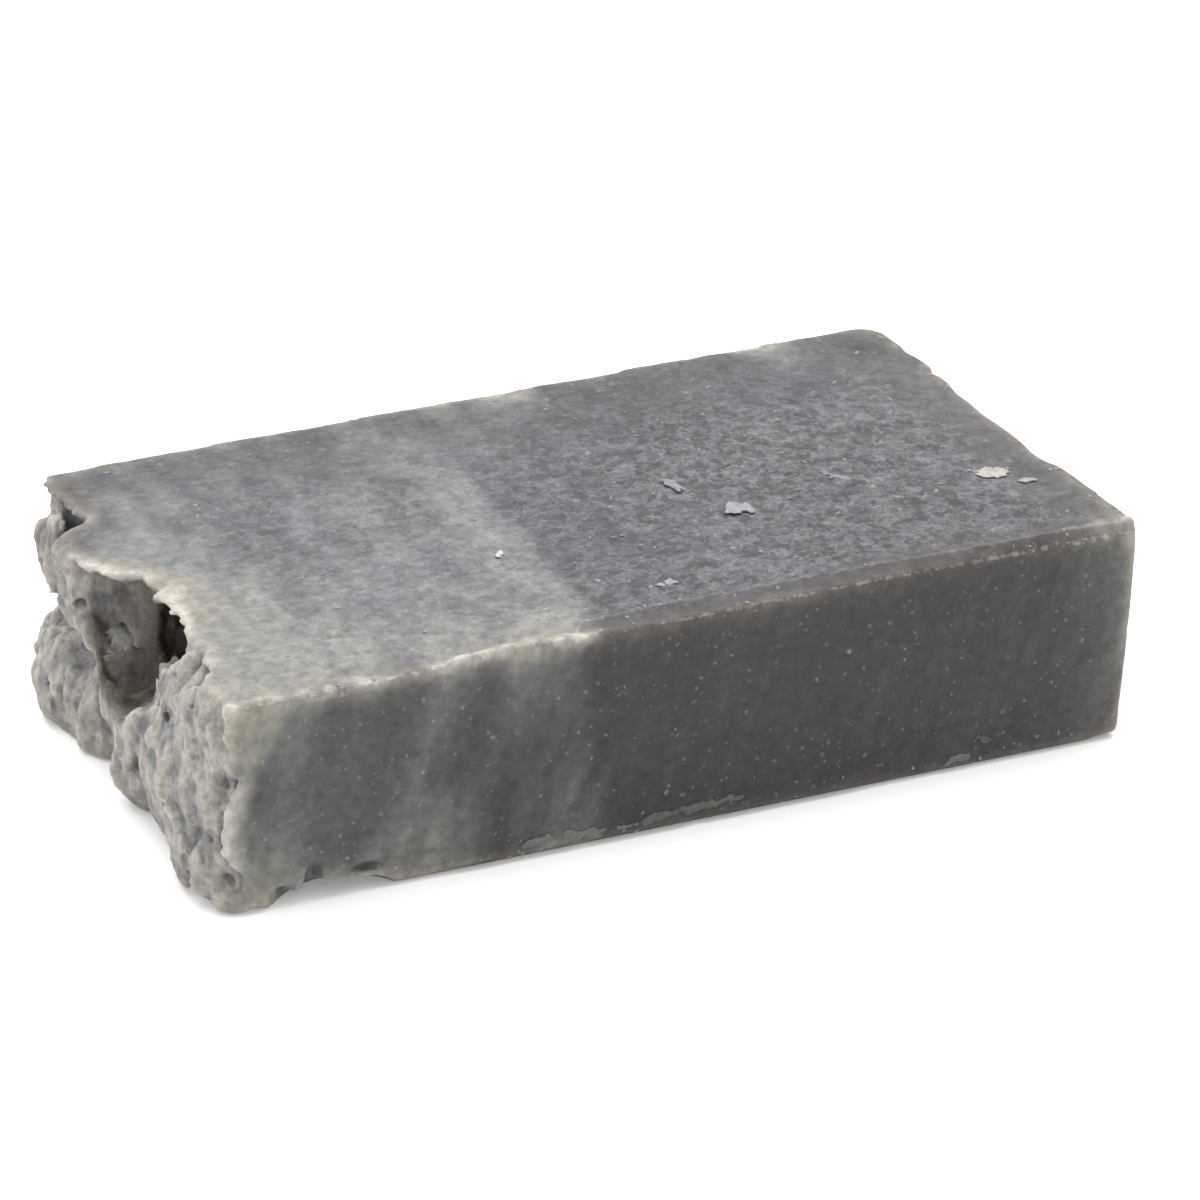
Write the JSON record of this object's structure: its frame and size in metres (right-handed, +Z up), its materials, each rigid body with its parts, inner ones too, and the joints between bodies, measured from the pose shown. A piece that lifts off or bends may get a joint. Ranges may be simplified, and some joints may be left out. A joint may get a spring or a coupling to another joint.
{
  "type": "handmade soap bar",
  "caption": "Rectangular hand-cut bar with flat cut faces, a smooth moulded end, a rough folded end with a hollow, and loose crumbs clinging to its cut faces.",
  "frame": {"origin": "middle of the flat lower cut face that the bar lies on, halfway between the moulded end and the mean plane of the rough end", "axes": "+X along the length towards the smooth moulded end, +Y across the width to the back long side, +Z up through the thickness"},
  "size_m": [0.1056, 0.0602, 0.0266],
  "materials": {
    "marbled_soap": "waxy satin, marbled grey, slightly translucent at its edges",
    "soap_crumb": "dry matte, pale grey"
  },
  "bodies": {
    "root": {"soap_bar": "marbled_soap", "crumb_top_pale_large": "soap_crumb", "crumb_top_pale_small": "soap_crumb", "crumb_top_middle": "soap_crumb", "crumb_top_long": "soap_crumb", "crumb_top_rear": "soap_crumb", "crumb_top_bright": "soap_crumb", "crumb_top_front": "soap_crumb", "shaving_front_long": "soap_crumb", "shaving_front_middle": "soap_crumb", "shaving_front_short": "soap_crumb", "shaving_front_upper": "soap_crumb"}
  },
  "joints": []
}
